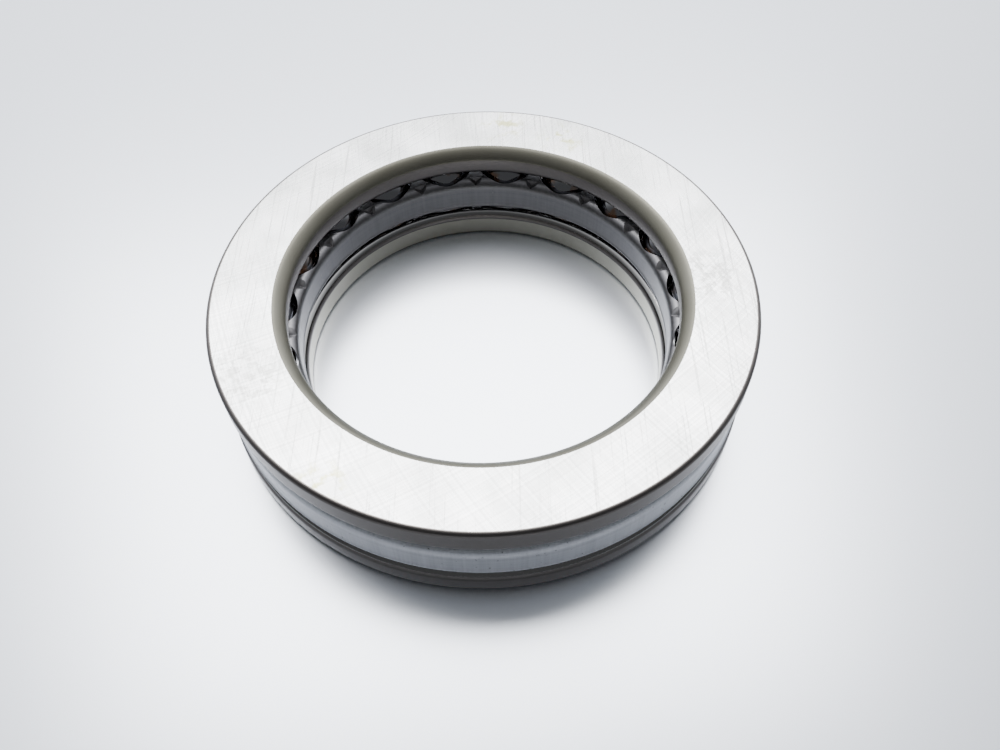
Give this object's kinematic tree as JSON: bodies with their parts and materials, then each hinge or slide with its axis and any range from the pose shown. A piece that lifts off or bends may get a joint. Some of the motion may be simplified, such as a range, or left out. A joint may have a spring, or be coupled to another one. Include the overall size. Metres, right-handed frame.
{
  "type": "thrust ball bearing",
  "caption": "Single-direction thrust ball bearing: two grooved steel washers with one row of caged balls between them, carrying axial load as one washer turns on the other.",
  "frame": {"origin": "centre of the shaft washer's resting face, on the bearing's axis", "axes": "+Z along the bearing's axis, from the shaft washer to the housing washer; +X and +Y lie in the resting face"},
  "size_m": [0.065, 0.065, 0.014],
  "materials": {
    "washer_steel": "hardened bearing steel, ground faces, turned and lapped edges",
    "cage_steel": "pressed mild steel sheet, dull blue-grey",
    "ball_steel": "lapped chrome steel, mirror finish"
  },
  "bodies": {
    "shaft_side": {"shaft_washer": "washer_steel"},
    "housing_side": {"housing_washer": "washer_steel"},
    "cage": {"cage": "cage_steel"},
    "ball_01": {"ball_01": "ball_steel"},
    "ball_02": {"ball_02": "ball_steel"},
    "ball_03": {"ball_03": "ball_steel"},
    "ball_04": {"ball_04": "ball_steel"},
    "ball_05": {"ball_05": "ball_steel"},
    "ball_06": {"ball_06": "ball_steel"},
    "ball_07": {"ball_07": "ball_steel"},
    "ball_08": {"ball_08": "ball_steel"},
    "ball_09": {"ball_09": "ball_steel"},
    "ball_10": {"ball_10": "ball_steel"},
    "ball_11": {"ball_11": "ball_steel"},
    "ball_12": {"ball_12": "ball_steel"},
    "ball_13": {"ball_13": "ball_steel"},
    "ball_14": {"ball_14": "ball_steel"},
    "ball_15": {"ball_15": "ball_steel"},
    "ball_16": {"ball_16": "ball_steel"},
    "ball_17": {"ball_17": "ball_steel"},
    "ball_18": {"ball_18": "ball_steel"},
    "ball_19": {"ball_19": "ball_steel"}
  },
  "joints": [
    {"name": "housing_washer_spin", "type": "hinge", "parent": "shaft_side", "child": "housing_side", "pos_m": [0, 0, 0.012], "axis": [0, 0, 1], "continuous": true},
    {"name": "cage_spin", "type": "hinge", "parent": "shaft_side", "child": "cage", "pos_m": [0, 0, 0.007], "axis": [0, 0, 1], "continuous": true},
    {"name": "ball_01_roll", "type": "hinge", "parent": "cage", "child": "ball_01", "pos_m": [0.02726, 0.00364, 0.007], "axis": [-0.9912, -0.1323, 0], "continuous": true},
    {"name": "ball_02_roll", "type": "hinge", "parent": "cage", "child": "ball_02", "pos_m": [0.0246, 0.01229, 0.007], "axis": [-0.8946, -0.4469, 0], "continuous": true},
    {"name": "ball_03_roll", "type": "hinge", "parent": "cage", "child": "ball_03", "pos_m": [0.01928, 0.01961, 0.007], "axis": [-0.701, -0.7132, 0], "continuous": true},
    {"name": "ball_04_roll", "type": "hinge", "parent": "cage", "child": "ball_04", "pos_m": [0.01186, 0.02481, 0.007], "axis": [-0.4314, -0.9021, 0], "continuous": true},
    {"name": "ball_05_roll", "type": "hinge", "parent": "cage", "child": "ball_05", "pos_m": [0.00317, 0.02732, 0.007], "axis": [-0.1151, -0.9934, 0], "continuous": true},
    {"name": "ball_06_roll", "type": "hinge", "parent": "cage", "child": "ball_06", "pos_m": [-0.00588, 0.02686, 0.007], "axis": [0.2137, -0.9769, 0], "continuous": true},
    {"name": "ball_07_roll", "type": "hinge", "parent": "cage", "child": "ball_07", "pos_m": [-0.01428, 0.0235, 0.007], "axis": [0.5193, -0.8546, 0], "continuous": true},
    {"name": "ball_08_roll", "type": "hinge", "parent": "cage", "child": "ball_08", "pos_m": [-0.02114, 0.01759, 0.007], "axis": [0.7686, -0.6397, 0], "continuous": true},
    {"name": "ball_09_roll", "type": "hinge", "parent": "cage", "child": "ball_09", "pos_m": [-0.0257, 0.00977, 0.007], "axis": [0.9347, -0.3555, 0], "continuous": true},
    {"name": "ball_10_roll", "type": "hinge", "parent": "cage", "child": "ball_10", "pos_m": [-0.02749, 0.0009, 0.007], "axis": [0.9995, -0.0327, 0], "continuous": true},
    {"name": "ball_11_roll", "type": "hinge", "parent": "cage", "child": "ball_11", "pos_m": [-0.02629, -0.00807, 0.007], "axis": [0.9559, 0.2936, 0], "continuous": true},
    {"name": "ball_12_roll", "type": "hinge", "parent": "cage", "child": "ball_12", "pos_m": [-0.02224, -0.01617, 0.007], "axis": [0.8088, 0.5881, 0], "continuous": true},
    {"name": "ball_13_roll", "type": "hinge", "parent": "cage", "child": "ball_13", "pos_m": [-0.01579, -0.02252, 0.007], "axis": [0.574, 0.8188, 0], "continuous": true},
    {"name": "ball_14_roll", "type": "hinge", "parent": "cage", "child": "ball_14", "pos_m": [-0.00762, -0.02642, 0.007], "axis": [0.277, 0.9609, 0], "continuous": true},
    {"name": "ball_15_roll", "type": "hinge", "parent": "cage", "child": "ball_15", "pos_m": [0.00137, -0.02747, 0.007], "axis": [-0.05, 0.9988, 0], "continuous": true},
    {"name": "ball_16_roll", "type": "hinge", "parent": "cage", "child": "ball_16", "pos_m": [0.01022, -0.02553, 0.007], "axis": [-0.3715, 0.9284, 0], "continuous": true},
    {"name": "ball_17_roll", "type": "hinge", "parent": "cage", "child": "ball_17", "pos_m": [0.01795, -0.02083, 0.007], "axis": [-0.6529, 0.7575, 0], "continuous": true},
    {"name": "ball_18_roll", "type": "hinge", "parent": "cage", "child": "ball_18", "pos_m": [0.02374, -0.01387, 0.007], "axis": [-0.8634, 0.5044, 0], "continuous": true},
    {"name": "ball_19_roll", "type": "hinge", "parent": "cage", "child": "ball_19", "pos_m": [0.02696, -0.00541, 0.007], "axis": [-0.9805, 0.1968, 0], "continuous": true}
  ],
  "couplings": [
    {"joint": "cage_spin", "follows": "housing_washer_spin", "ratio": 0.5},
    {"joint": "ball_01_roll", "follows": "housing_washer_spin", "ratio": 3.4643},
    {"joint": "ball_02_roll", "follows": "housing_washer_spin", "ratio": 3.4643},
    {"joint": "ball_03_roll", "follows": "housing_washer_spin", "ratio": 3.4643},
    {"joint": "ball_04_roll", "follows": "housing_washer_spin", "ratio": 3.4643},
    {"joint": "ball_05_roll", "follows": "housing_washer_spin", "ratio": 3.4643},
    {"joint": "ball_06_roll", "follows": "housing_washer_spin", "ratio": 3.4643},
    {"joint": "ball_07_roll", "follows": "housing_washer_spin", "ratio": 3.4643},
    {"joint": "ball_08_roll", "follows": "housing_washer_spin", "ratio": 3.4643},
    {"joint": "ball_09_roll", "follows": "housing_washer_spin", "ratio": 3.4643},
    {"joint": "ball_10_roll", "follows": "housing_washer_spin", "ratio": 3.4643},
    {"joint": "ball_11_roll", "follows": "housing_washer_spin", "ratio": 3.4643},
    {"joint": "ball_12_roll", "follows": "housing_washer_spin", "ratio": 3.4643},
    {"joint": "ball_13_roll", "follows": "housing_washer_spin", "ratio": 3.4643},
    {"joint": "ball_14_roll", "follows": "housing_washer_spin", "ratio": 3.4643},
    {"joint": "ball_15_roll", "follows": "housing_washer_spin", "ratio": 3.4643},
    {"joint": "ball_16_roll", "follows": "housing_washer_spin", "ratio": 3.4643},
    {"joint": "ball_17_roll", "follows": "housing_washer_spin", "ratio": 3.4643},
    {"joint": "ball_18_roll", "follows": "housing_washer_spin", "ratio": 3.4643},
    {"joint": "ball_19_roll", "follows": "housing_washer_spin", "ratio": 3.4643}
  ]
}
